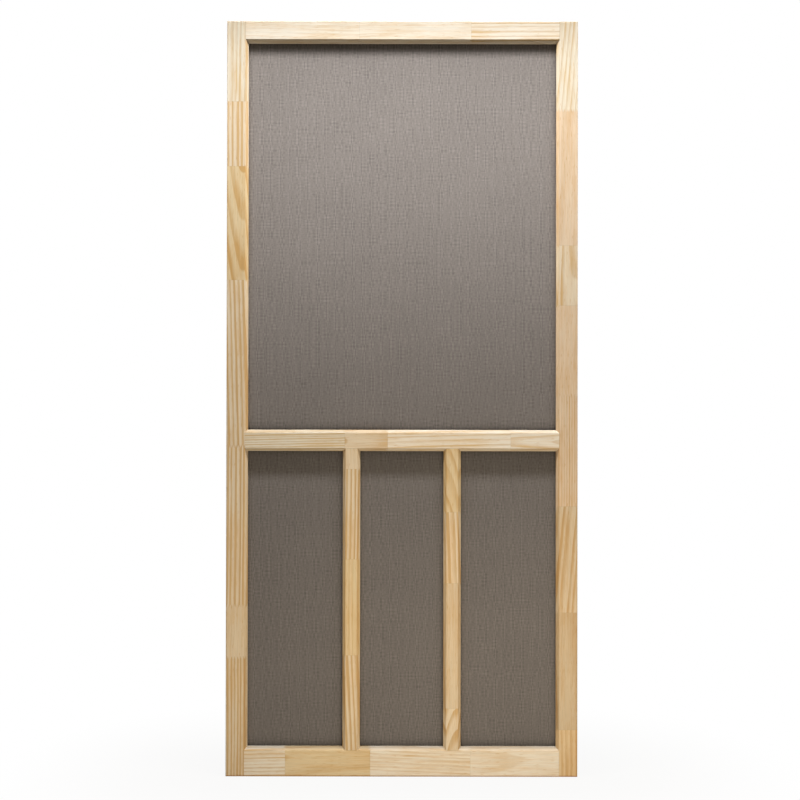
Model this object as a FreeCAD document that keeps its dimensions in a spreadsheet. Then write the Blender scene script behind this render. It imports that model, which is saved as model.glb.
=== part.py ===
"""Wooden screen door: a pine frame with coped and tenoned joints, and screens held by splines.

Millimetres, +Z up, +X to the right seen from the front. The origin lies at the foot of the
left stile's outer edge, half way through the thickness, so the front face looks along -Y.
"""
import FreeCAD, Part
import math
import os
import Sketcher

# Driving dimensions
DIMENSIONS = {
    "door_width": 930,
    "door_height": 2000,
    "door_thickness": 25.4,
    "stile_width": 56,
    "top_rail_width": 56,
    "mid_rail_width": 56,
    "bottom_rail_width": 77,
    "mid_rail_centre": 888,
    "mullion_width": 46,
    "mullion_spacing": 267,
    "chamfer_leg": 7.5,
    "chamfer_depth": 7.5,
    "arris_radius": 3,
    "rebate_width": 12,
    "rebate_depth": 9.4,
    "groove_offset": 4,
    "groove_width": 4.5,
    "groove_depth": 4.5,
    "screen_thickness": 0.5,
    "tenon_thickness": 8,
    "tenon_length": 38,
    "tenon_shoulder": 2,
    "tenon_haunch": 12,
    "mullion_tenon_length": 20,
    "mortise_end_gap": 1,
}

# How a sketch numbers an edge's own points, and its fixed origin and axes
AT_START, AT_END, AT_CENTRE = range(1, 4)
HORIZONTAL_AXIS, VERTICAL_AXIS = range(-1, -3, -1)
ORIGIN = HORIZONTAL_AXIS
QUARTER_TURN = math.pi / 2
SAME_PLACE = 1e-6


class Length:
    """A length of the door: the sheet formula that drives it, and its present value."""

    def __init__(self, formula, value):
        self.formula = formula
        self.value = value

    def joined(self, sign, other, value):
        other_formula = other.formula if isinstance(other, Length) else str(other)
        return Length(f"({self.formula} {sign} {other_formula})", value)

    def __add__(self, other):
        return self.joined("+", other, self.value + other.value)

    def __sub__(self, other):
        return self.joined("-", other, self.value - other.value)

    def __mul__(self, factor):
        return self.joined("*", factor, self.value * factor)

    def __truediv__(self, divisor):
        return self.joined("/", divisor, self.value / divisor)

    def __neg__(self):
        return Length(f"(0 - {self.formula})", -self.value)


class Opening:
    """A screened opening of the frame, by its four edges on the door's face."""

    def __init__(self, name, left, right, bottom, top):
        self.name = name
        self.left = left
        self.right = right
        self.bottom = bottom
        self.top = top

    def grown(self, by):
        return Opening(self.name, self.left - by, self.right + by, self.bottom - by, self.top + by)

    def corners(self):
        return rectangle(self.left, self.right, self.bottom, self.top)


def rectangle(left, right, bottom, top):
    return [(left, bottom), (right, bottom), (right, top), (left, top)]


doc = FreeCAD.newDocument("screen_door")
sheet = doc.addObject("Spreadsheet::Sheet", "Sizes")
for row, (alias, number) in enumerate(DIMENSIONS.items(), start=1):
    sheet.set(f"A{row}", alias)
    sheet.set(f"B{row}", str(number))
    sheet.setAlias(f"B{row}", alias)
doc.recompute()


def size(alias):
    return Length(f"Sizes.{alias}", float(sheet.get(alias)))


ZERO = Length("0", 0.0)
door_width = size("door_width")
door_height = size("door_height")
thickness = size("door_thickness")
stile_width = size("stile_width")
mullion_width = size("mullion_width")
chamfer_leg = size("chamfer_leg")
chamfer_depth = size("chamfer_depth")
rebate_width = size("rebate_width")
groove_offset = size("groove_offset")
groove_width = size("groove_width")
screen_thickness = size("screen_thickness")
tenon_length = size("tenon_length")
mullion_tenon_length = size("mullion_tenon_length")
mortise_end_gap = size("mortise_end_gap")

# Edges of the frame members on the door's face
clear_left = stile_width
clear_right = door_width - stile_width
top_rail_bottom = door_height - size("top_rail_width")
mid_rail_bottom = size("mid_rail_centre") - size("mid_rail_width") / 2
mid_rail_top = size("mid_rail_centre") + size("mid_rail_width") / 2
bottom_rail_top = size("bottom_rail_width")
mullion_half_spread = (size("mullion_spacing") + mullion_width) / 2
left_mullion_left = door_width / 2 - mullion_half_spread
left_mullion_right = left_mullion_left + mullion_width
right_mullion_right = door_width / 2 + mullion_half_spread
right_mullion_left = right_mullion_right - mullion_width

# Depths behind the front face
screen_seat = thickness - size("rebate_depth")
groove_floor = screen_seat - size("groove_depth")
tenon_front = (thickness - size("tenon_thickness")) / 2
tenon_back = (thickness + size("tenon_thickness")) / 2

# A tenon keeps clear of the rebates and of the door's ends
tenon_inset = rebate_width + size("tenon_shoulder")
top_tenon = (top_rail_bottom + tenon_inset, door_height - size("tenon_haunch"))
mid_tenon = (mid_rail_bottom + tenon_inset, mid_rail_top - tenon_inset)
bottom_tenon = (size("tenon_haunch"), bottom_rail_top - tenon_inset)
rail_tenons = [top_tenon, mid_tenon, bottom_tenon]

upper = Opening("upper", clear_left, clear_right, mid_rail_top, top_rail_bottom)
lower_left = Opening("lower_left", clear_left, left_mullion_left, bottom_rail_top, mid_rail_bottom)
lower_middle = Opening(
    "lower_middle", left_mullion_right, right_mullion_left, bottom_rail_top, mid_rail_bottom
)
lower_right = Opening("lower_right", right_mullion_right, clear_right, bottom_rail_top, mid_rail_bottom)
openings = [upper, lower_left, lower_middle, lower_right]
bodies = []


def new_body(label):
    """An empty sub-part in the door's own coordinates, with its front face at depth zero."""
    body = doc.addObject("PartDesign::Body", label)
    body.Label = label
    body.setExpression("Placement.Base.y", (-thickness / 2).formula)
    bodies.append(body)
    return body


def new_sketch(body, name, role, height):
    """A sketch on one of the body's own origin planes, lifted along that plane's normal."""
    sketch = body.newObject("Sketcher::SketchObject", f"{body.Label}_{name}_sketch")
    plane = next(item for item in body.Origin.OriginFeatures if item.Role == role)
    sketch.AttachmentSupport = [(plane, "")]
    sketch.MapMode = "FlatFace"
    sketch.setExpression("AttachmentOffset.Base.z", height.formula)
    return sketch


def vector(point):
    return FreeCAD.Vector(point[0].value, point[1].value, 0)


def fix_coordinate(sketch, kind, axis, edge, place, length):
    """Hold one coordinate of a point of the sketch at a length of the sheet."""
    if length is ZERO:
        sketch.addConstraint(Sketcher.Constraint("PointOnObject", edge, place, axis))
        return
    constraint = Sketcher.Constraint(kind, ORIGIN, AT_START, edge, place, length.value)
    index = sketch.addConstraint(constraint)
    sketch.setExpression(f"Constraints[{index}]", length.formula)


def fix_point(sketch, edge, place, point):
    fix_coordinate(sketch, "DistanceX", VERTICAL_AXIS, edge, place, point[0])
    fix_coordinate(sketch, "DistanceY", HORIZONTAL_AXIS, edge, place, point[1])


def join_ends(sketch, edges):
    for edge, following in zip(edges, edges[1:] + edges[:1]):
        sketch.addConstraint(Sketcher.Constraint("Coincident", edge, AT_END, following, AT_START))


def add_polygon(sketch, corners):
    """Draw a closed outline whose every corner is held at lengths of the sheet."""
    edges = []
    for corner, following in zip(corners, corners[1:] + corners[:1]):
        edges.append(sketch.addGeometry(Part.LineSegment(vector(corner), vector(following)), False))
    join_ends(sketch, edges)
    for edge, corner in zip(edges, corners):
        fix_point(sketch, edge, AT_START, corner)


def add_round_backed(sketch, arc_start, arc_end, far_corners, centre, first_angle):
    """Draw a strip's section: a half circle at the back, closed by three straight sides."""
    radius = (vector(arc_end) - vector(arc_start)).Length / 2
    circle = Part.Circle(vector(centre), FreeCAD.Vector(0, 0, 1), radius)
    arc = Part.ArcOfCircle(circle, first_angle, first_angle + 2 * QUARTER_TURN)
    edges = [sketch.addGeometry(arc, False)]
    corners = [arc_end] + far_corners
    for corner, following in zip(corners, corners[1:] + [arc_start]):
        edges.append(sketch.addGeometry(Part.LineSegment(vector(corner), vector(following)), False))
    join_ends(sketch, edges)
    for edge, corner in zip(edges[1:], corners):
        fix_point(sketch, edge, AT_START, corner)
    fix_point(sketch, edges[-1], AT_END, arc_start)
    return edges[0]


def add_feature(body, kind, name, sketch, length=None, reverse=False):
    """A pad or pocket of a sketch, through all of the body where no length is given."""
    feature = body.newObject(f"PartDesign::{kind}", f"{body.Label}_{name}")
    feature.Profile = sketch
    feature.Reversed = reverse
    if length is None:
        feature.Type = "ThroughAll"
    else:
        feature.setExpression("Length", length.formula)
    return feature


def pad(body, name, role, height, outlines, length):
    sketch = new_sketch(body, name, role, height)
    for outline in outlines:
        add_polygon(sketch, outline)
    add_feature(body, "Pad", name, sketch, length)


def pocket(body, name, role, height, outlines, length=None, reverse=False):
    sketch = new_sketch(body, name, role, height)
    for outline in outlines:
        add_polygon(sketch, outline)
    add_feature(body, "Pocket", name, sketch, length, reverse)


def cut_screen_seats(body, beside):
    """Rebate the back round each opening, and plough the spline groove in the rebate's floor."""
    rebates = [opening.grown(rebate_width).corners() for opening in beside]
    pocket(body, "rebate", "XZ_Plane", -screen_seat, rebates, size("rebate_depth"))
    grooves = []
    for opening in beside:
        grooves.append(opening.grown(groove_offset).corners())
        grooves.append(opening.grown(groove_offset + groove_width).corners())
    pocket(body, "groove", "XZ_Plane", -groove_floor, grooves, size("groove_depth"))


def lies_on(edge, axis, lengths):
    """Whether both ends of an edge have one of these lengths as their coordinate."""
    ends = [getattr(vertex.Point, axis) for vertex in edge.Vertexes]
    return any(all(abs(end - length.value) < SAME_PLACE for end in ends) for length in lengths)


def is_outer_arris(edge):
    """Whether an edge runs along the door's outline, on its front or back face."""
    on_outline = lies_on(edge, "x", [ZERO, door_width]) or lies_on(edge, "z", [ZERO, door_height])
    return on_outline and lies_on(edge, "y", [ZERO, thickness])


def round_outer_arrises(body):
    doc.recompute()
    base = body.Tip
    names = [f"Edge{i}" for i, edge in enumerate(base.Shape.Edges, start=1) if is_outer_arris(edge)]
    fillet = body.newObject("PartDesign::Fillet", f"{body.Label}_arris")
    fillet.Base = (base, names)
    fillet.setExpression("Radius", size("arris_radius").formula)


def make_stile(label, outer, inner, beside):
    """A stile: chamfered along its front inner edge, with a mortise for each rail."""
    body = new_body(label)
    is_left = outer is ZERO
    chamfer_start = inner - chamfer_leg if is_left else inner + chamfer_leg
    section = [
        (outer, ZERO),
        (chamfer_start, ZERO),
        (inner, chamfer_depth),
        (inner, thickness),
        (outer, thickness),
    ]
    pad(body, "length", "XY_Plane", ZERO, [section], door_height)
    round_outer_arrises(body)
    cut_screen_seats(body, beside)
    mortise_depth = tenon_length + mortise_end_gap
    mortise_end = inner - mortise_depth if is_left else inner + mortise_depth
    outlines = [rectangle(tenon_front, tenon_back, *tenon) for tenon in rail_tenons]
    pocket(body, "mortises", "YZ_Plane", mortise_end, outlines, mortise_depth, reverse=is_left)


def rail_section(low, high, low_is_chamfered, high_is_chamfered):
    """A rail's cross-section, with its front edge chamfered beside each opening."""
    section = []
    if low_is_chamfered:
        section += [(chamfer_depth, low), (ZERO, low + chamfer_leg)]
    else:
        section += [(ZERO, low)]
    if high_is_chamfered:
        section += [(ZERO, high - chamfer_leg), (chamfer_depth, high)]
    else:
        section += [(ZERO, high)]
    return section + [(thickness, high), (thickness, low)]


def cope(shoulder, feather):
    """What is cut from a coped end so that it laps the neighbour's chamfer, as far and depth."""
    return [(feather, ZERO), (shoulder, chamfer_depth), (shoulder, thickness), (feather, thickness)]


def make_rail(label, section, tenon, beside):
    """A rail: coped over the stiles' chamfers and tenoned into them."""
    body = new_body(label)
    left_feather = clear_left - chamfer_leg
    right_feather = clear_right + chamfer_leg
    pad(body, "length", "YZ_Plane", left_feather, [section], right_feather - left_feather)
    if tenon is not mid_tenon:
        round_outer_arrises(body)
    copes = [cope(clear_left, left_feather), cope(clear_right, right_feather)]
    pocket(body, "cope", "XY_Plane", ZERO, copes, reverse=True)
    cut_screen_seats(body, beside)
    tenon_start = clear_left - tenon_length
    tenon_end = clear_right + tenon_length
    outline = rectangle(tenon_front, tenon_back, *tenon)
    pad(body, "tenons", "YZ_Plane", tenon_start, [outline], tenon_end - tenon_start)
    return body


def mullion_tenon(left, right):
    return rectangle(left + tenon_inset, right - tenon_inset, tenon_front, tenon_back)


def cut_mullion_mortises(body, height, reverse):
    outlines = [
        mullion_tenon(left_mullion_left, left_mullion_right),
        mullion_tenon(right_mullion_left, right_mullion_right),
    ]
    depth = mullion_tenon_length + mortise_end_gap
    pocket(body, "mortises", "XY_Plane", height, outlines, depth, reverse)


def make_mullion(label, left, right, beside):
    """A mullion: chamfered on both sides, coped over the rails and tenoned into them."""
    body = new_body(label)
    low_feather = bottom_rail_top - chamfer_leg
    high_feather = mid_rail_bottom + chamfer_leg
    section = [
        (left + chamfer_leg, ZERO),
        (right - chamfer_leg, ZERO),
        (right, chamfer_depth),
        (right, thickness),
        (left, thickness),
        (left, chamfer_depth),
    ]
    pad(body, "length", "XY_Plane", low_feather, [section], high_feather - low_feather)
    copes = []
    for shoulder, feather in ((bottom_rail_top, low_feather), (mid_rail_bottom, high_feather)):
        copes.append([(depth, height) for height, depth in cope(shoulder, feather)])
    pocket(body, "cope", "YZ_Plane", ZERO, copes, reverse=True)
    cut_screen_seats(body, beside)
    tenon_start = bottom_rail_top - mullion_tenon_length
    tenon_end = mid_rail_bottom + mullion_tenon_length
    outline = mullion_tenon(left, right)
    pad(body, "tenons", "XY_Plane", tenon_start, [outline], tenon_end - tenon_start)


def make_screen(opening):
    """A screen cloth: flat on the rebate's floor, its edge tucked round the spline groove."""
    body = new_body(f"{opening.name}_screen")
    inner_wall = opening.grown(groove_offset)
    inner_lip = opening.grown(groove_offset + screen_thickness)
    outer_wall = opening.grown(groove_offset + groove_width)
    outer_lip = opening.grown(groove_offset + groove_width - screen_thickness)
    cloth_back = screen_seat + screen_thickness
    pad(body, "cloth", "XZ_Plane", -cloth_back, [inner_lip.corners()], screen_thickness)
    folds = [
        ("inner_fold", inner_wall, inner_lip, cloth_back, cloth_back - groove_floor),
        ("floor_fold", inner_wall, outer_wall, groove_floor + screen_thickness, screen_thickness),
        ("outer_fold", outer_lip, outer_wall, screen_seat, screen_seat - groove_floor),
    ]
    for name, inside, outside, back, depth in folds:
        pad(body, name, "XZ_Plane", -back, [inside.corners(), outside.corners()], depth)


def spline_depths(low, high):
    """Front, centre of the round, and middle of a spline strip between two groove walls."""
    front = groove_floor + screen_thickness
    centre_depth = screen_seat + screen_thickness - (high - low) / 2
    return front, centre_depth, (low + high) / 2


def make_level_spline(label, low, high, start, end):
    body = new_body(label)
    front, centre_depth, middle = spline_depths(low, high)
    sketch = new_sketch(body, "length", "YZ_Plane", start)
    far_corners = [(front, high), (front, low)]
    centre = (centre_depth, middle)
    arc = add_round_backed(
        sketch, (centre_depth, low), (centre_depth, high), far_corners, centre, -QUARTER_TURN
    )
    fix_coordinate(sketch, "DistanceX", VERTICAL_AXIS, arc, AT_CENTRE, centre_depth)
    add_feature(body, "Pad", "length", sketch, end - start)


def make_upright_spline(label, low, high, start, end):
    body = new_body(label)
    front, centre_depth, middle = spline_depths(low, high)
    sketch = new_sketch(body, "length", "XY_Plane", start)
    far_corners = [(low, front), (high, front)]
    centre = (middle, centre_depth)
    arc = add_round_backed(sketch, (high, centre_depth), (low, centre_depth), far_corners, centre, 0)
    fix_coordinate(sketch, "DistanceY", HORIZONTAL_AXIS, arc, AT_CENTRE, centre_depth)
    add_feature(body, "Pad", "length", sketch, end - start)


def make_splines(opening):
    """Four strips pressed into the groove: level ones from wall to wall, uprights between."""
    inside = opening.grown(groove_offset + screen_thickness)
    outside = opening.grown(groove_offset + groove_width - screen_thickness)
    name = opening.name
    make_level_spline(f"{name}_top_spline", inside.top, outside.top, outside.left, outside.right)
    make_level_spline(
        f"{name}_bottom_spline", outside.bottom, inside.bottom, outside.left, outside.right
    )
    make_upright_spline(f"{name}_left_spline", outside.left, inside.left, inside.bottom, inside.top)
    make_upright_spline(f"{name}_right_spline", inside.right, outside.right, inside.bottom, inside.top)


make_stile("left_stile", ZERO, clear_left, [upper, lower_left])
make_stile("right_stile", door_width, clear_right, [upper, lower_right])
make_rail("top_rail", rail_section(top_rail_bottom, door_height, True, False), top_tenon, [upper])
mid_rail = make_rail(
    "mid_rail", rail_section(mid_rail_bottom, mid_rail_top, True, True), mid_tenon, openings
)
cut_mullion_mortises(mid_rail, mid_rail_bottom, True)
bottom_rail = make_rail(
    "bottom_rail", rail_section(ZERO, bottom_rail_top, False, True), bottom_tenon, openings[1:]
)
cut_mullion_mortises(bottom_rail, bottom_rail_top, False)
make_mullion("left_mullion", left_mullion_left, left_mullion_right, [lower_left, lower_middle])
make_mullion("right_mullion", right_mullion_left, right_mullion_right, [lower_middle, lower_right])
for screened in openings:
    make_screen(screened)
    make_splines(screened)
doc.recompute()

for item in doc.Objects:
    if "Invalid" in item.State or "Error" in item.State:
        raise RuntimeError(f"{item.Label} failed to compute")
    if item.TypeId == "PartDesign::Pocket" and item.Shape.Volume >= item.BaseFeature.Shape.Volume:
        raise RuntimeError(f"{item.Label} cuts nothing")
for body in bodies:
    if body.Shape.isNull() or not body.Shape.isValid() or len(body.Shape.Solids) != 1:
        raise RuntimeError(f"{body.Label} is not one sound solid")

os.makedirs("parts", exist_ok=True)
for body in bodies:
    body.Shape.exportStep(f"parts/{body.Label}.step")
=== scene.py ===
"""Looks of the wooden screen door: finger-jointed pine, woven screens and vinyl splines.

Metres, in the door's own frame: +X to the right and +Z up seen from the front, which faces -Y.
"""
import math
from collections import namedtuple

import bpy
import numpy as np
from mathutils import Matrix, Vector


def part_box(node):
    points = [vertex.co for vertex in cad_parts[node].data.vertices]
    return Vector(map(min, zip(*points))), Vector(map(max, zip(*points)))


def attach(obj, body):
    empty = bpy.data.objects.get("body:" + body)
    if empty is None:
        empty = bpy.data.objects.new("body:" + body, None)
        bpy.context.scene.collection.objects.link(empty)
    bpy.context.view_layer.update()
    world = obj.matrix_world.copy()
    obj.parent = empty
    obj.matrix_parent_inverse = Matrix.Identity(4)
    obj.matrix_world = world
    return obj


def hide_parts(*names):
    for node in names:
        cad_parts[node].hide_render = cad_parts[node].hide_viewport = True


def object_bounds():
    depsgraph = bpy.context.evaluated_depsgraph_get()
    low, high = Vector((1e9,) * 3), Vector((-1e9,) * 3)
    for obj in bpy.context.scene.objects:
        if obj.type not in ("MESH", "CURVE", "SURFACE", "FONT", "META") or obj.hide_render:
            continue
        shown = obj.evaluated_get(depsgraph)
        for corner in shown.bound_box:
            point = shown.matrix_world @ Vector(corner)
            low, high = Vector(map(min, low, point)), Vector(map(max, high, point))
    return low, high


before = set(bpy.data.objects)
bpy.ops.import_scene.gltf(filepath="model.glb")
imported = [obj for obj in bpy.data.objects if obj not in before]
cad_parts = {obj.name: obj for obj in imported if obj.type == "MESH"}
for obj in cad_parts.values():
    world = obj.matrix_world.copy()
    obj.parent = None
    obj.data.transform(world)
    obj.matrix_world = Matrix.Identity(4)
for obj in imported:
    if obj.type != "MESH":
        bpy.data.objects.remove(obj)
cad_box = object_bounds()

SEED = 20

# Tones of planed pine, as sRGB
IVORY = (235, 224, 206)
CREAM = (224, 213, 192)
PALE = (224, 206, 178)
WHEAT = (222, 203, 173)
TAN = (212, 191, 159)
BUFF = (203, 181, 148)
HONEY = (219, 196, 155)
AMBER = (225, 203, 163)
PEACH = (221, 197, 167)
ORANGE = (219, 192, 151)
LATEWOOD_TINT = (0.77, 0.60, 0.38)
# Painted shade: the darker tint of chamfers and arrises
CHAMFER_SHADE_TINT = (0.87, 0.83, 0.77)

# Painted shade on the wood: the part of the light that it takes from a rail's upper ledge at the
# front, and how much more further in, and the tint of painted shade on the door's foot
LEDGE_PAINTED_SHADE = {"mid_rail": (0.26, 0.0), "bottom_rail": (0.26, 0.28)}
LEDGE_DEPTHS = (-0.0115, -0.006)
LEDGE_UPWARD = (0.3, 0.6)
FOOT_SHADE_TINT = (0.70, 0.46, 0.24)
FOOT_SPAN = (0.001, 0.006)

# How squarely a chamfer faces front or back: more than the first span and less than the second
CHAMFER_FACING = ((0.4, 0.6), (0.82, 0.94))

# Figures in the wood: how often each changes per metre across the grain and along it, and how
# far it turns the wood towards the latewood's tint and darkens it
Figure = namedtuple("Figure", "across along warmth shade")
SWAY = Figure(16.0, 3.0, 0.0, 0.0)
FIBRES = Figure(900.0, 20.0, 0.0, 0.3)
GRAIN = Figure(300.0, 26.0, 0.9, 0.1)
STREAKS = Figure(110.0, 3.0, 1.0, 0.14)
MOTTLE = Figure(34.0, 8.0, 1.3, 0.12)
DASHES = Figure(700.0, 48.0, 0.6, 0.0)
DASH_EDGE = (0.68, 0.78)
BASE_WARMTH = 0.14
GLUE_SHADE = 0.25
JOINT_SHADE = 0.4
WOOD_ROUGHNESS = 0.58
WOOD_BUMP = 0.00008

# Growth rings: how far they sway, in metres, how uneven they are, in rings, and where in a ring
# its dark latewood rises and falls
SWAY_REACH = 0.007
UNEVENNESS = 1.2
UNEVENNESS_SCALE = 45.0
LATEWOOD_RISE = (0.3, 0.85)
LATEWOOD_FALL = (0.92, 1.0)
LEAST_LATEWOOD = 0.55
LATEWOOD_SPREAD = 0.9

# Finger joints between the blocks that each member is glued from
TOOTH_PITCH = 0.004
TOOTH_LENGTH = 0.009
GLUE_LINE = 0.0004

# A block runs up to its end along the member. Its growth rings lie round a pith line, placed
# across the member and behind its middle plane, which leans by tilt as it runs along.
Block = namedtuple("Block", "end tone ring contrast pith tilt teeth_on_face")
STRIPES_PITH_BESIDE = 0.11
STRIPES_PITH_BEHIND = 0.012
PLAIN_PITH_BEHIND = 0.075

# The largest pith, tilt and ring width that a material's table of blocks holds. A block's contrast
# shares the tilt's table, divided by CONTRAST_STEP.
PITH_REACH = 1.0
TILT_REACH = 0.2
RING_REACH = 0.02
CONTRAST_STEP = 10


def stripes(end, tone, ring=0.011, contrast=0.9, lean=0.0, side=-1, teeth_on_face=False):
    """Rings cut square to the face, which show there as lines along the grain."""
    pith = (side * STRIPES_PITH_BESIDE, STRIPES_PITH_BEHIND)
    return Block(end, tone, ring, contrast, pith, (lean, 0.0), teeth_on_face)


def plain(end, tone, ring=0.012, contrast=0.4, shift=0.0, rise=0.012, teeth_on_face=False):
    """Rings cut along the face, which shows few lines."""
    pith = (shift, PLAIN_PITH_BEHIND)
    return Block(end, tone, ring, contrast, pith, (0.0, rise), teeth_on_face)


def arches(end, tone, ring=0.0105, contrast=0.9, shift=0.0, rise=0.088, lean=0.0, behind=0.05):
    """Rings cut along the face at a slope, which show there as nested arches."""
    return Block(end, tone, ring, contrast, (shift, behind), (lean, rise), False)


BLOCKS = {
    "left_stile": [
        stripes(0.3135, WHEAT, ring=0.0085, contrast=1.25, teeth_on_face=True),
        plain(0.451, WHEAT, contrast=0.5, teeth_on_face=True),
        stripes(0.872, PALE, ring=0.0103, contrast=1.25, lean=0.01, teeth_on_face=True),
        stripes(1.311, PALE, ring=0.0114, contrast=1.25, lean=-0.03),
        arches(1.6126, HONEY, shift=0.017, contrast=0.9, rise=-0.088),
        stripes(1.7846, PALE, ring=0.0115, contrast=0.9),
        stripes(2.0, CREAM, ring=0.0125, contrast=0.6, lean=0.015),
    ],
    "right_stile": [
        stripes(0.123, ORANGE, ring=0.013, contrast=0.5, side=1),
        plain(0.4326, BUFF, contrast=0.6, shift=-0.01),
        stripes(0.713, TAN, ring=0.015, contrast=0.8, lean=0.09, side=1),
        stripes(1.0081, PEACH, ring=0.0068, contrast=0.6, side=1, teeth_on_face=True),
        plain(1.2449, PEACH, contrast=0.2),
        arches(1.4036, PALE, shift=0.02, contrast=0.9, rise=-0.07, lean=0.15),
        plain(1.7634, PEACH, contrast=0.5, shift=0.02, teeth_on_face=True),
        stripes(2.0, CREAM, ring=0.012, contrast=0.5, lean=0.1, side=1),
    ],
    "top_rail": [
        stripes(0.3492, IVORY, ring=0.011, contrast=0.2, lean=-0.03),
        arches(0.6456, IVORY, shift=0.01, contrast=0.15, rise=0.04),
        stripes(0.93, IVORY, ring=0.0105, contrast=0.6, side=1),
    ],
    "mid_rail": [
        stripes(0.3122, CREAM, ring=0.0065, contrast=0.7, lean=0.02),
        plain(0.426, PALE, contrast=0.6, rise=0.08),
        stripes(0.7514, IVORY, ring=0.0115, contrast=0.55, lean=0.03),
        arches(0.93, IVORY, ring=0.005, contrast=0.65, rise=-0.03, shift=-0.004, behind=0.022),
    ],
    "bottom_rail": [
        stripes(0.1561, IVORY, ring=0.009, contrast=0.6, lean=0.02),
        plain(0.381, AMBER, contrast=0.5, shift=0.01, rise=0.03),
        stripes(0.6456, IVORY, ring=0.01, contrast=0.3, lean=-0.05),
        arches(0.93, IVORY, ring=0.011, contrast=0.35, rise=0.045),
    ],
    "left_mullion": [
        stripes(0.3188, WHEAT, ring=0.0125, contrast=1.0, lean=-0.05),
        stripes(0.5728, HONEY, ring=0.011, contrast=0.45),
        stripes(0.811, WHEAT, ring=0.0095, contrast=1.0, lean=0.02),
        plain(0.888, WHEAT, contrast=0.3),
    ],
    "right_mullion": [
        arches(0.1786, WHEAT, ring=0.0085, contrast=0.8, rise=0.14, shift=0.02),
        plain(0.5093, TAN, contrast=0.5, shift=-0.012),
        stripes(0.6972, WHEAT, ring=0.012, contrast=0.9, lean=-0.04),
        arches(0.888, HONEY, ring=0.01, contrast=0.7, rise=0.16, shift=-0.03),
    ],
}
UPRIGHTS = ("left_stile", "right_stile", "left_mullion", "right_mullion")
EASED_EDGE = 0.0005

# Where the ends of rails and mullions meet the face of their neighbours
RAIL_SHOULDERS = (0.0485, 0.8815)
MULLION_SHOULDERS = (0.0695, 0.8675)
SHOULDERS = {
    "top_rail": RAIL_SHOULDERS,
    "mid_rail": RAIL_SHOULDERS,
    "bottom_rail": RAIL_SHOULDERS,
    "left_mullion": MULLION_SHOULDERS,
    "right_mullion": MULLION_SHOULDERS,
}
JOINT_LINE = 0.0012

# Screen cloth: straight yarns, tucked round the spline groove at each edge
YARN_PITCH = 0.0015
LEVEL_YARN_WIDTH = 0.0015
UPRIGHT_YARN_WIDTH = 0.00085
CLOTH_THICKNESS = 0.0005
YARN_THICKNESS = CLOTH_THICKNESS / 3
GROOVE_WIDTH = 0.0045
YARN_TAUPE = (0.229, 0.204, 0.1885, 1.0)
YARN_ROUGHNESS = 0.62
YARN_GRAIN_SCALE = 2600.0

# Tone of the cloth: painted light that makes it paler towards the top between two heights, yarns
# that differ by turns, and strokes along them where the difference is strong, with slow patches,
# fine speckle and watered bands
LIGHT_FALLOFF_SPAN = (0.64, 1.6)
LIGHT_FALLOFF_TONES = (0.68, 1.17)
TONE_REPEAT = 6.4
TONE_DRIFT = 0.3
LEVEL_YARN_TONE = 0.05
UPRIGHT_YARN_TONE = 0.36
STROKE_SCALE = 40.0
STROKE_STRENGTH = 18.0
MOST_CONTRAST = 0.33
PATCH_SCALE = (7.0, 9.0)
PATCH_TONE = 0.16
SPECKLE_SCALE = (170.0, 300.0)
SPECKLE_TONE = 0.34
BAND_SCALE = 260.0
BAND_TONE = 0.02
BAND_DRIFT = 0.12
BAND_DRIFT_SCALE = 3.0

# Left, right, upper and lower member round each screen
HELD_BY = {
    "upper": ["left_stile", "right_stile", "top_rail", "mid_rail"],
    "lower_left": ["left_stile", "left_mullion", "mid_rail", "bottom_rail"],
    "lower_middle": ["left_mullion", "right_mullion", "mid_rail", "bottom_rail"],
    "lower_right": ["right_mullion", "right_stile", "mid_rail", "bottom_rail"],
}
# Painted shade on the cloth along those members: its strength at the wood, and the reach it fades over
CLOTH_EDGE_SHADE = ((0.42, 0.003), (0.42, 0.005), (0.5, 0.012), (0.66, 0.010))
MOST_EDGE_SHADE = 0.7

# Spline vinyl
SPLINE_GREY = (0.028, 0.026, 0.025, 1.0)
RIB_PITCH = 0.0007
SPLINE_BUMP = 0.0001

# Studio
CAMERA_PLACE = (0.4597, -2.8, 0.981)
CAMERA_PITCH = math.radians(90.295)
CAMERA_ROLL = math.radians(-0.10)
FRAME_WIDTH_AT_DOOR = 2.1166
SENSOR_WIDTH = 36.0
FLOOR_SIDE = 7.0
FLOOR_ALBEDO = (0.27, 0.245, 0.20, 1.0)
FLOOR_WHITENESS = 0.92
FLOOR_FADE = 0.7
SKY_COLOUR = (1.0, 0.99, 0.97, 1.0)
SKY_STRENGTH = 0.01

# Lamps: four strips above the door's front, turned away from it so that their light weakens
# towards its foot, and fills for its foot, back and edges
Lamp = namedtuple("Lamp", "name place target size power colour")
WHITE = (1.0, 1.0, 1.0)
WARM = (1.0, 0.885, 0.70)
STRIP_HEIGHTS = (2.46, 2.63, 2.80, 2.97)
STRIP_ACROSS = 0.57
STRIP_DEPTH = -0.395
STRIP_TARGET_DEPTH = -1.165
STRIP_DROP = 0.64
STRIP_SIZE = (2.0, 0.12)
STRIP_POWER = 44.5
STRIP_LAMPS = []
for strip, height in enumerate(STRIP_HEIGHTS):
    strip_place = (STRIP_ACROSS, STRIP_DEPTH, height)
    strip_target = (STRIP_ACROSS, STRIP_TARGET_DEPTH, height - STRIP_DROP)
    strip_lamp = Lamp(f"strip_lamp_{strip}", strip_place, strip_target, STRIP_SIZE, STRIP_POWER, WHITE)
    STRIP_LAMPS.append(strip_lamp)
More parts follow.
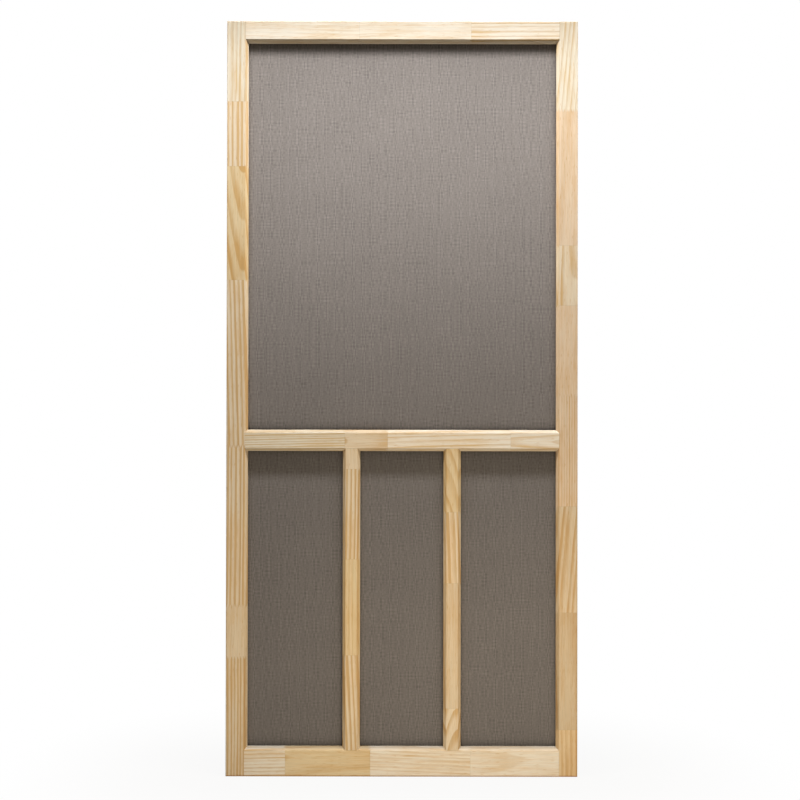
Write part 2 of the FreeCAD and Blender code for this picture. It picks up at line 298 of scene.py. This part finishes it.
FILL_LAMPS = [
    Lamp("low_fill", (0.68, -0.85, 0.32), (0.5, 0.0, 0.25), (1.2, 0.4), 5.45, WARM),
    Lamp("back_fill", (0.465, 3.0, 2.4), (0.465, 0.0, 0.9), (2.4, 1.6), 88.0, WHITE),
    Lamp("right_edge_fill", (3.0, 0.8, 1.3), (0.93, 0.0, 1.0), (1.2, 1.6), 26.0, WHITE),
    Lamp("left_edge_fill", (-2.1, 0.8, 1.3), (0.0, 0.0, 1.0), (1.2, 1.6), 26.0, WHITE),
]


class Wire:
    """A number in a material's node tree, which arithmetic extends with Math nodes."""

    def __init__(self, socket):
        self.socket = socket

    def then(self, operation, *others):
        node = self.socket.id_data.nodes.new("ShaderNodeMath")
        node.operation = operation
        for target, value in zip(node.inputs, (self, *others)):
            feed(target, value)
        return Wire(node.outputs[0])

    def __add__(self, other):
        return self.then("ADD", other)

    def __sub__(self, other):
        return self.then("SUBTRACT", other)

    def __mul__(self, other):
        return self.then("MULTIPLY", other)

    def __truediv__(self, other):
        return self.then("DIVIDE", other)

    def __neg__(self):
        return self * -1.0

    def complement(self):
        return -self + 1.0


def feed(target, value):
    """Link a wire to an input, or set the input to a constant."""
    if isinstance(value, Wire):
        target.id_data.links.new(value.socket, target)
    else:
        target.default_value = value


def new_material(name):
    """A material with one principled shader, given with its node tree."""
    material = bpy.data.materials.new(name)
    material.use_nodes = True
    tree = material.node_tree
    tree.nodes.clear()
    output = tree.nodes.new("ShaderNodeOutputMaterial")
    surface = tree.nodes.new("ShaderNodeBsdfPrincipled")
    tree.links.new(surface.outputs[0], output.inputs["Surface"])
    return material, tree, surface


def coordinate_parts(tree, kind):
    coordinates = tree.nodes.new("ShaderNodeTexCoord")
    parts = tree.nodes.new("ShaderNodeSeparateXYZ")
    tree.links.new(coordinates.outputs[kind], parts.inputs[0])
    return [Wire(socket) for socket in parts.outputs]


def place_in_frame(tree):
    """The X, Y and Z of the shaded point in the door's frame."""
    return coordinate_parts(tree, "Object")


def normal_in_frame(tree):
    """The X, Y and Z of the surface's normal in the door's frame."""
    return coordinate_parts(tree, "Normal")


def noise(tree, point, detail=2.0):
    """Smooth noise from 0 to 1 at a point given by three wires."""
    vector = tree.nodes.new("ShaderNodeCombineXYZ")
    for target, value in zip(vector.inputs, point):
        feed(target, value)
    node = tree.nodes.new("ShaderNodeTexNoise")
    node.inputs["Scale"].default_value = 1.0
    node.inputs["Detail"].default_value = detail
    tree.links.new(vector.outputs[0], node.inputs["Vector"])
    return Wire(node.outputs[0])


def chance(tree, number):
    """A random value from 0 to 1 for each whole number."""
    node = tree.nodes.new("ShaderNodeTexWhiteNoise")
    node.noise_dimensions = "1D"
    feed(node.inputs["W"], number)
    return Wire(node.outputs["Value"])


def smooth_step(tree, value, low, high):
    node = tree.nodes.new("ShaderNodeMapRange")
    node.interpolation_type = "SMOOTHSTEP"
    feed(node.inputs["Value"], value)
    node.inputs["From Min"].default_value = low
    node.inputs["From Max"].default_value = high
    return Wire(node.outputs[0])


def mix_colour(tree, blend, factor, first, second):
    node = tree.nodes.new("ShaderNodeMix")
    node.data_type = "RGBA"
    node.blend_type = blend
    feed(node.inputs[0], factor)
    feed(node.inputs[6], first)
    feed(node.inputs[7], second)
    return Wire(node.outputs[2])


def grey(tree, value):
    """A colour whose three channels are one wire."""
    node = tree.nodes.new("ShaderNodeCombineColor")
    for target in node.inputs:
        feed(target, value)
    return Wire(node.outputs[0])


def look_up(tree, share, colours):
    """The colour for the step that share, from 0 to 1, falls in."""
    node = tree.nodes.new("ShaderNodeValToRGB")
    ramp = node.color_ramp
    ramp.interpolation = "CONSTANT"
    while len(ramp.elements) < len(colours):
        ramp.elements.new(1.0)
    for step, colour in enumerate(colours):
        ramp.elements[step].position = step / len(colours)
        ramp.elements[step].color = (*colour, 1.0)
    feed(node.inputs[0], share)
    return Wire(node.outputs[0])


def look_up_numbers(tree, share, rows, reach):
    """Three numbers for the step that share falls in, each within reach of zero."""
    coded = [tuple(0.5 + 0.5 * number / reach for number in row) for row in rows]
    colour = look_up(tree, share, coded)
    parts = tree.nodes.new("ShaderNodeSeparateColor")
    feed(parts.inputs[0], colour)
    return [(Wire(socket) - 0.5) * (2.0 * reach) for socket in parts.outputs]


def set_bump(tree, surface, height, distance):
    bump = tree.nodes.new("ShaderNodeBump")
    bump.inputs["Strength"].default_value = 1.0
    bump.inputs["Distance"].default_value = distance
    feed(bump.inputs["Height"], height)
    tree.links.new(bump.outputs[0], surface.inputs["Normal"])


def linear(tone):
    """An sRGB tone, from 0 to 255, as linear colour."""
    shares = [channel / 255 for channel in tone]
    return tuple(x / 12.92 if x <= 0.04045 else ((x + 0.055) / 1.055) ** 2.4 for x in shares)


def finger_teeth(across):
    """How far the zigzag of a finger joint reaches along the grain, across its width."""
    half_pitch = TOOTH_PITCH / 2
    return across.then("PINGPONG", half_pitch) * (TOOTH_LENGTH / half_pitch) - TOOTH_LENGTH / 2


def sloping(tree):
    """1 on routed chamfers and rounded arrises, and 0 on the faces and edges of a board."""
    facing = normal_in_frame(tree)[1].then("ABSOLUTE")
    least, most = CHAMFER_FACING
    return smooth_step(tree, facing, *least) * smooth_step(tree, facing, *most).complement()


def tinted(tree, colour, tint, mask):
    """A colour multiplied by a tint where the mask is 1."""
    tinted_colour = mix_colour(tree, "MULTIPLY", 1.0, colour, (*tint, 1.0))
    return mix_colour(tree, "MIX", mask, colour, tinted_colour)


def figure_noise(tree, figure, place, detail=2.0):
    """Noise from 0 to 1, drawn out along the grain, at a place given across, in depth and along."""
    across, depth, along = place
    point = (across * figure.across, depth * figure.across, along * figure.along)
    return noise(tree, point, detail)


def pine(name, blocks):
    """Planed pine: blocks joined end to end, with growth rings, fibres, resin dashes and glue."""
    material, tree, surface = new_material(f"pine_{name}")
    x, depth, z = place_in_frame(tree)
    low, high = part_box(name)
    if name in UPRIGHTS:
        along, across = z, x - (low.x + high.x) / 2
    else:
        along, across = x, z - (low.z + high.z) / 2

    teeth = {True: finger_teeth(across), False: finger_teeth(depth)}
    number = along * 0.0
    nearest = along * 0.0 + 1.0
    for block in blocks[:-1]:
        past = along + teeth[block.teeth_on_face] - block.end
        number = number + past.then("GREATER_THAN", 0.0)
        nearest = nearest.then("MINIMUM", past.then("ABSOLUTE"))
    share = (number + 0.5) / len(blocks)

    starts = [0.0] + [block.end for block in blocks[:-1]]
    middles = [(start + block.end) / 2 for start, block in zip(starts, blocks)]
    piths = []
    for block, middle in zip(blocks, middles):
        start_beside = block.pith[0] - block.tilt[0] * middle
        start_behind = block.pith[1] - block.tilt[1] * middle
        piths.append((start_beside, start_behind, 0.0))
    tilts = [(*block.tilt, block.contrast / CONTRAST_STEP) for block in blocks]
    ring_widths = [(block.ring, 0.0, 0.0) for block in blocks]
    pith_across, pith_depth = look_up_numbers(tree, share, piths, PITH_REACH)[:2]
    tilt_across, tilt_depth, contrast = look_up_numbers(tree, share, tilts, TILT_REACH)
    ring_width = look_up_numbers(tree, share, ring_widths, RING_REACH)[0]

    from_pith_across = across - pith_across - tilt_across * along
    from_pith_depth = depth - pith_depth - tilt_depth * along
    square = from_pith_across * from_pith_across + from_pith_depth * from_pith_depth
    distance = square.then("SQRT")
    # Multiples of a block's number shift the noise, so that blocks differ
    place = (across, depth, along)
    sway_place = (across + number * (7.0 / SWAY.across), depth, along)
    mottle_place = (across, depth + number / MOTTLE.across, along)
    sway = figure_noise(tree, SWAY, sway_place) - 0.5
    ring_place = (distance * UNEVENNESS_SCALE + number * 5.0, number, 0.0)
    unevenness = noise(tree, ring_place, detail=1.0) - 0.5
    rings = (distance + sway * SWAY_REACH) / ring_width + unevenness * UNEVENNESS
    within = rings.then("FRACT")
    ring_chance = chance(tree, rings.then("FLOOR") + number * 31.0)
    rise = smooth_step(tree, within, *LATEWOOD_RISE)
    latewood = rise * smooth_step(tree, within, *LATEWOOD_FALL).complement()
    latewood = latewood * contrast * CONTRAST_STEP * (ring_chance * LATEWOOD_SPREAD + LEAST_LATEWOOD)

    fibres = figure_noise(tree, FIBRES, place) - 0.5
    grain = figure_noise(tree, GRAIN, place) - 0.5
    streaks = figure_noise(tree, STREAKS, place) - 0.5
    mottle = figure_noise(tree, MOTTLE, mottle_place, detail=3.0) - 0.5
    dashes = smooth_step(tree, figure_noise(tree, DASHES, place, detail=0.0), *DASH_EDGE)
    glue = smooth_step(tree, nearest, 0.0, GLUE_LINE).complement()
    joint = along * 0.0
    for shoulder in SHOULDERS.get(name, ()):
        from_shoulder = (along - shoulder).then("ABSOLUTE")
        joint = joint + smooth_step(tree, from_shoulder, 0.0, JOINT_LINE).complement()

    earlywood = look_up(tree, share, [linear(block.tone) for block in blocks])
    warmth = latewood + grain * GRAIN.warmth + streaks * STREAKS.warmth + mottle * MOTTLE.warmth
    warmth = warmth + dashes * DASHES.warmth + BASE_WARMTH
    colour = tinted(tree, earlywood, LATEWOOD_TINT, warmth)
    shade = fibres * FIBRES.shade + grain * GRAIN.shade + streaks * STREAKS.shade
    shade = shade + mottle * MOTTLE.shade - glue * GLUE_SHADE - joint * JOINT_SHADE + 1.0
    # Painted shade: the upward-facing ledges of the mid and bottom rails are darkened
    if name in LEDGE_PAINTED_SHADE:
        outer, inner = LEDGE_PAINTED_SHADE[name]
        upward = smooth_step(tree, normal_in_frame(tree)[2], *LEDGE_UPWARD)
        painted_shade = smooth_step(tree, depth, *LEDGE_DEPTHS) * inner + outer
        shade = shade * (upward * painted_shade).complement()
    colour = mix_colour(tree, "MULTIPLY", 1.0, colour, grey(tree, shade))
    # Painted shade: chamfers and arrises are tinted darker and warmer
    colour = tinted(tree, colour, CHAMFER_SHADE_TINT, sloping(tree))
    # Painted shade: the door's foot is tinted darker and browner
    if low.z < FOOT_SPAN[1]:
        painted_foot_shade = smooth_step(tree, z, *FOOT_SPAN).complement()
        colour = tinted(tree, colour, FOOT_SHADE_TINT, painted_foot_shade)
    feed(surface.inputs["Base Color"], colour)
    feed(surface.inputs["Roughness"], fibres * 0.3 - latewood * 0.08 + WOOD_ROUGHNESS)
    surface.inputs["Specular IOR Level"].default_value = 0.3
    set_bump(tree, surface, fibres * 0.8 + latewood * 0.4 - dashes * 0.4 - glue, WOOD_BUMP)
    return material


def painted_cloth_edge_shade(tree, name, x, z):
    """The part of a cloth's light that painted shade along the wood round it takes away."""
    left, right, upper, lower = [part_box(member) for member in HELD_BY[name]]
    from_wood = (x - left[1].x, -x + right[0].x, -z + upper[0].z, z - lower[1].z)
    painted_shade = x * 0.0
    for distance, (strength, reach) in zip(from_wood, CLOTH_EDGE_SHADE):
        fading = (distance.then("MAXIMUM", 0.0) * (-1.0 / reach)).then("EXPONENT")
        painted_shade = painted_shade + fading * strength
    return painted_shade.then("MINIMUM", MOST_EDGE_SHADE)


def screen_yarn(name):
    """Matt taupe yarn, lighter and darker by turns along its length, in a gently watered cloth."""
    material, tree, surface = new_material(f"{name}_yarn")
    x, depth, z = place_in_frame(tree)
    tone = tree.nodes.new("ShaderNodeAttribute")
    tone.attribute_name = "yarn_tone"
    drift = noise(tree, (x * BAND_DRIFT_SCALE, depth, z * BAND_DRIFT_SCALE)) - 0.5
    bands = ((x + drift * BAND_DRIFT) * BAND_SCALE).then("SINE") * BAND_TONE
    patches = noise(tree, (x * PATCH_SCALE[0], depth, z * PATCH_SCALE[1]), detail=4.0) - 0.5
    stroke_place = (x * STROKE_SCALE, depth + 5.0, z * STROKE_SCALE)
    strength = (noise(tree, stroke_place) - 0.5) * STROKE_STRENGTH
    speckle = noise(tree, (x * SPECKLE_SCALE[0], depth, z * SPECKLE_SCALE[1]), detail=1.0) - 0.5
    # Painted light: the cloth is paler towards the top and darker towards its foot
    painted_falloff = smooth_step(tree, z, *LIGHT_FALLOFF_SPAN) * (LIGHT_FALLOFF_TONES[1] - LIGHT_FALLOFF_TONES[0]) + LIGHT_FALLOFF_TONES[0]
    contrast = (Wire(tone.outputs["Fac"]) - 1.0) * strength
    contrast = contrast.then("MAXIMUM", -MOST_CONTRAST).then("MINIMUM", MOST_CONTRAST)
    shade = (contrast + bands + patches * PATCH_TONE + speckle * SPECKLE_TONE + 1.0) * painted_falloff
    # Painted shade: the cloth is darker along the wood round it
    shade = shade * painted_cloth_edge_shade(tree, name, x, z).complement()
    colour = mix_colour(tree, "MULTIPLY", 1.0, YARN_TAUPE, grey(tree, shade))
    feed(surface.inputs["Base Color"], colour)
    weave_grain = noise(tree, [part * YARN_GRAIN_SCALE for part in (x, depth, z)])
    feed(surface.inputs["Roughness"], weave_grain * 0.2 + YARN_ROUGHNESS)
    surface.inputs["Specular IOR Level"].default_value = 0.2
    return material


def spline_vinyl(name, runs_up):
    """Dark vinyl cord with fine ribs along its length and scuffs from the roller."""
    material, tree, surface = new_material(name)
    x, depth, z = place_in_frame(tree)
    along, across = (z, x) if runs_up else (x, z)
    ribs = (across * (2 * math.pi / RIB_PITCH)).then("SINE")
    scuffs = noise(tree, (across * 300.0, depth * 300.0, along * 40.0), detail=3.0)
    shade = scuffs * 0.9 + 0.55
    colour = mix_colour(tree, "MULTIPLY", 1.0, SPLINE_GREY, grey(tree, shade))
    feed(surface.inputs["Base Color"], colour)
    feed(surface.inputs["Roughness"], scuffs * 0.3 + 0.35)
    set_bump(tree, surface, ribs * 0.5 + scuffs * 0.5, SPLINE_BUMP)
    return material


def ease_edges(node):
    """Take the sharpness off a member's edges, as planing and handling do."""
    weld = node.modifiers.new("weld", "WELD")
    weld.merge_threshold = 1e-6
    flatten = node.modifiers.new("flatten", "DECIMATE")
    flatten.decimate_type = "DISSOLVE"
    flatten.angle_limit = math.radians(0.5)
    bevel = node.modifiers.new("bevel", "BEVEL")
    bevel.limit_method = "ANGLE"
    bevel.angle_limit = math.radians(30)
    bevel.width = EASED_EDGE
    bevel.segments = 2
    bevel.use_clamp_overlap = False


def set_material(node, material):
    node.data.materials.clear()
    node.data.materials.append(material)


def mitred_normals(path):
    """A unit offset for each point of a path of (along, depth) points, mitred at its bends."""
    runs = np.diff(path, axis=0)
    runs = runs / np.linalg.norm(runs, axis=1)[:, None]
    normals = np.stack([-runs[:, 1], runs[:, 0]], axis=1)
    before = np.vstack([normals[:1], normals])
    after = np.vstack([normals, normals[-1:]])
    turn = (before * after).sum(axis=1)
    return (before + after) / (1 + turn)[:, None]


def tucked_path(low, high, lip_depth, floor_depth, flat_depth):
    """Where a yarn runs: round the walls and floor of a groove at each end, and over the opening."""
    wall = CLOTH_THICKNESS / 2
    inner = GROOVE_WIDTH - CLOTH_THICKNESS / 2
    half = [
        (low + wall, lip_depth),
        (low + wall, floor_depth),
        (low + inner, floor_depth),
        (low + inner, flat_depth),
    ]
    other_half = [(low + high - along, depth) for along, depth in reversed(half)]
    return np.array(half + other_half)


def yarns(path, places, width, runs_up):
    """Vertices and faces of closed flat yarns along one path, side by side at these places."""
    offset = mitred_normals(path) * YARN_THICKNESS / 2
    rings = np.zeros((len(path), 4, 3))
    along, beside = (2, 0) if runs_up else (0, 2)
    for corner, (side, lift) in enumerate(((1, 0), (0, 1), (-1, 0), (0, -1))):
        point = path + lift * offset
        rings[:, corner, along] = point[:, 0]
        rings[:, corner, 1] = point[:, 1]
        rings[:, corner, beside] = side * width / 2
    one = rings.reshape(-1, 3)
    shifts = np.zeros((len(places), 1, 3))
    shifts[:, 0, beside] = places
    vertices = (one[None] + shifts).reshape(-1, 3)

    order = (0, 1, 2, 3) if runs_up else (3, 2, 1, 0)
    last = 4 * (len(path) - 1)
    faces = []
    for ring in range(len(path) - 1):
        start = 4 * ring
        end = start + 4
        for corner, following in zip(order, order[1:] + order[:1]):
            faces.append((start + corner, start + following, end + following, end + corner))
    faces.append(tuple(reversed(order)))
    faces.append(tuple(last + corner for corner in order))
    steps = np.arange(len(places))[:, None, None] * len(one)
    return vertices, (np.array(faces)[None] + steps).reshape(-1, 4)


def even_places(low, high):
    """Places a yarn's pitch apart that fill the span between two edges."""
    count = int((high - low) / YARN_PITCH)
    return (low + high) / 2 + (np.arange(count) - (count - 1) / 2) * YARN_PITCH


def yarn_tones(count, depth, draw):
    """Light and dark yarns by turns, every few yarns, with a repeat that drifts."""
    steps = 2 * math.pi / TONE_REPEAT * (1 + TONE_DRIFT * draw.standard_normal(count))
    return 1 + depth * np.sin(np.cumsum(steps)) + depth / 8 * draw.standard_normal(count)


def weave_screen(name, draw):
    """A cloth of level yarns side by side, with upright yarns before and behind them by turns."""
    node = f"{name}_screen"
    low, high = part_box(node)
    lip = high.y - CLOTH_THICKNESS
    floor = low.y + CLOTH_THICKNESS / 2
    middle = high.y - CLOTH_THICKNESS / 2
    upright_places = even_places(low.x + GROOVE_WIDTH, high.x - GROOVE_WIDTH)
    level_places = even_places(low.z + GROOVE_WIDTH, high.z - GROOVE_WIDTH)
    level_path = tucked_path(low.x, high.x, lip, floor, middle)
    layers = [yarns(level_path, level_places, LEVEL_YARN_WIDTH, False)]
    for turn, lift in enumerate((-YARN_THICKNESS, YARN_THICKNESS)):
        path = tucked_path(low.z, high.z, lip, floor, middle + lift)
        layers.append(yarns(path, upright_places[turn::2], UPRIGHT_YARN_WIDTH, True))
    vertices = np.vstack([points for points, faces in layers])
    starts = np.cumsum([0] + [len(points) for points, faces in layers[:-1]])
    faces = np.vstack([faces + start for start, (points, faces) in zip(starts, layers)])
    mesh = bpy.data.meshes.new(f"{node}_weave")
    mesh.from_pydata(vertices.tolist(), [], faces.tolist())
    level_tones = yarn_tones(len(level_places), LEVEL_YARN_TONE, draw)
    upright_tones = yarn_tones(len(upright_places), UPRIGHT_YARN_TONE, draw)
    tones = np.concatenate([level_tones, upright_tones[::2], upright_tones[1::2]])
    faces_per_yarn = len(faces) // len(tones)
    attribute = mesh.attributes.new("yarn_tone", "FLOAT", "FACE")
    attribute.data.foreach_set("value", np.repeat(tones, faces_per_yarn).astype(np.float32))
    mesh.materials.append(screen_yarn(name))
    weave = bpy.data.objects.new(f"{node}_weave", mesh)
    bpy.context.scene.collection.objects.link(weave)
    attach(weave, "root")
    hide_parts(node)
    upright_path = tucked_path(low.z, high.z, lip, floor, middle)


def seen_directly(tree):
    """1 for what is seen, also in gloss or through glass, and 0 for light that only illuminates."""
    path = tree.nodes.new("ShaderNodeLightPath")
    camera = Wire(path.outputs["Is Camera Ray"])
    glossy = camera.then("MAXIMUM", Wire(path.outputs["Is Glossy Ray"]))
    return glossy.then("MAXIMUM", Wire(path.outputs["Is Transmission Ray"]))


def make_world():
    """White to the eye, and a weak even light on the object."""
    world = bpy.data.worlds.new("studio")
    bpy.context.scene.world = world
    world.use_nodes = True
    tree = world.node_tree
    tree.nodes.clear()
    output = tree.nodes.new("ShaderNodeOutputWorld")
    mix = tree.nodes.new("ShaderNodeMixShader")
    light = tree.nodes.new("ShaderNodeBackground")
    light.inputs["Color"].default_value = SKY_COLOUR
    light.inputs["Strength"].default_value = SKY_STRENGTH
    white = tree.nodes.new("ShaderNodeBackground")
    white.inputs["Color"].default_value = (1.0, 1.0, 1.0, 1.0)
    white.inputs["Strength"].default_value = 1.0
    feed(mix.inputs[0], seen_directly(tree))
    tree.links.new(light.outputs[0], mix.inputs[1])
    tree.links.new(white.outputs[0], mix.inputs[2])
    tree.links.new(mix.outputs[0], output.inputs["Surface"])


def make_floor():
    """A pale floor that keeps the door's shadow and fades to the white of the studio."""
    half = FLOOR_SIDE / 2
    mesh = bpy.data.meshes.new("floor")
    corners = [(-half, -half, 0), (half, -half, 0), (half, half, 0), (-half, half, 0)]
    mesh.from_pydata(corners, [], [(0, 1, 2, 3)])
    floor = bpy.data.objects.new("floor", mesh)
    bpy.context.scene.collection.objects.link(floor)
    material, tree, surface = new_material("floor_paper")
    output = surface.outputs[0].links[0].to_node
    x, y, z = place_in_frame(tree)
    beside = (x - cad_box[1].x / 2).then("ABSOLUTE") - cad_box[1].x / 2
    beside = beside.then("MAXIMUM", 0.0)
    reach = (beside * beside + y * y).then("SQRT")
    whiteness = smooth_step(tree, reach, 0.0, FLOOR_FADE) * (1.0 - FLOOR_WHITENESS) + FLOOR_WHITENESS
    grain = noise(tree, (x * 60.0, y * 60.0, z), detail=3.0)
    paper = mix_colour(tree, "MULTIPLY", 1.0, FLOOR_ALBEDO, grey(tree, grain * 0.06 + 0.97))
    feed(surface.inputs["Base Color"], paper)
    surface.inputs["Roughness"].default_value = 0.9
    surface.inputs["Specular IOR Level"].default_value = 0.1
    white = tree.nodes.new("ShaderNodeEmission")
    white.inputs["Strength"].default_value = 1.0
    mix = tree.nodes.new("ShaderNodeMixShader")
    feed(mix.inputs[0], seen_directly(tree) * whiteness)
    tree.links.new(surface.outputs[0], mix.inputs[1])
    tree.links.new(white.outputs[0], mix.inputs[2])
    tree.links.new(mix.outputs[0], output.inputs["Surface"])
    mesh.materials.append(material)


def aim(thing, place, target):
    """Put a lamp at a place, shining at a target."""
    thing.location = place
    direction = np.array(target) - np.array(place)
    across = math.hypot(direction[0], direction[1])
    thing.rotation_euler = (
        math.atan2(across, -direction[2]), 0.0, math.atan2(-direction[0], direction[1])
    )


def add_lamp(lamp):
    light = bpy.data.lights.new(lamp.name, "AREA")
    light.shape = "RECTANGLE"
    light.size, light.size_y = lamp.size
    light.energy = lamp.power
    light.color = lamp.colour
    holder = bpy.data.objects.new(lamp.name, light)
    bpy.context.scene.collection.objects.link(holder)
    holder.visible_camera = False
    aim(holder, lamp.place, lamp.target)


def make_camera():
    camera = bpy.data.cameras.new("camera")
    camera.sensor_width = SENSOR_WIDTH
    front = cad_box[0].y
    camera.lens = SENSOR_WIDTH * (front - CAMERA_PLACE[1]) / FRAME_WIDTH_AT_DOOR
    holder = bpy.data.objects.new("camera", camera)
    bpy.context.scene.collection.objects.link(holder)
    holder.location = CAMERA_PLACE
    holder.rotation_euler = (CAMERA_PITCH, CAMERA_ROLL, 0.0)
    bpy.context.scene.camera = holder


make_camera()
make_world()
make_floor()
for lamp in STRIP_LAMPS + FILL_LAMPS:
    add_lamp(lamp)

for member, member_blocks in BLOCKS.items():
    ease_edges(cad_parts[member])
    set_material(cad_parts[member], pine(member, member_blocks))

tone_draw = np.random.default_rng(SEED)
level_vinyl = spline_vinyl("spline_level", False)
upright_vinyl = spline_vinyl("spline_upright", True)
for screen in HELD_BY:
    weave_screen(screen, tone_draw)
    for edge in ("top", "bottom"):
        set_material(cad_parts[f"{screen}_{edge}_spline"], level_vinyl)
    for edge in ("left", "right"):
        set_material(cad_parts[f"{screen}_{edge}_spline"], upright_vinyl)

bpy.context.scene.view_settings.view_transform = "Standard"
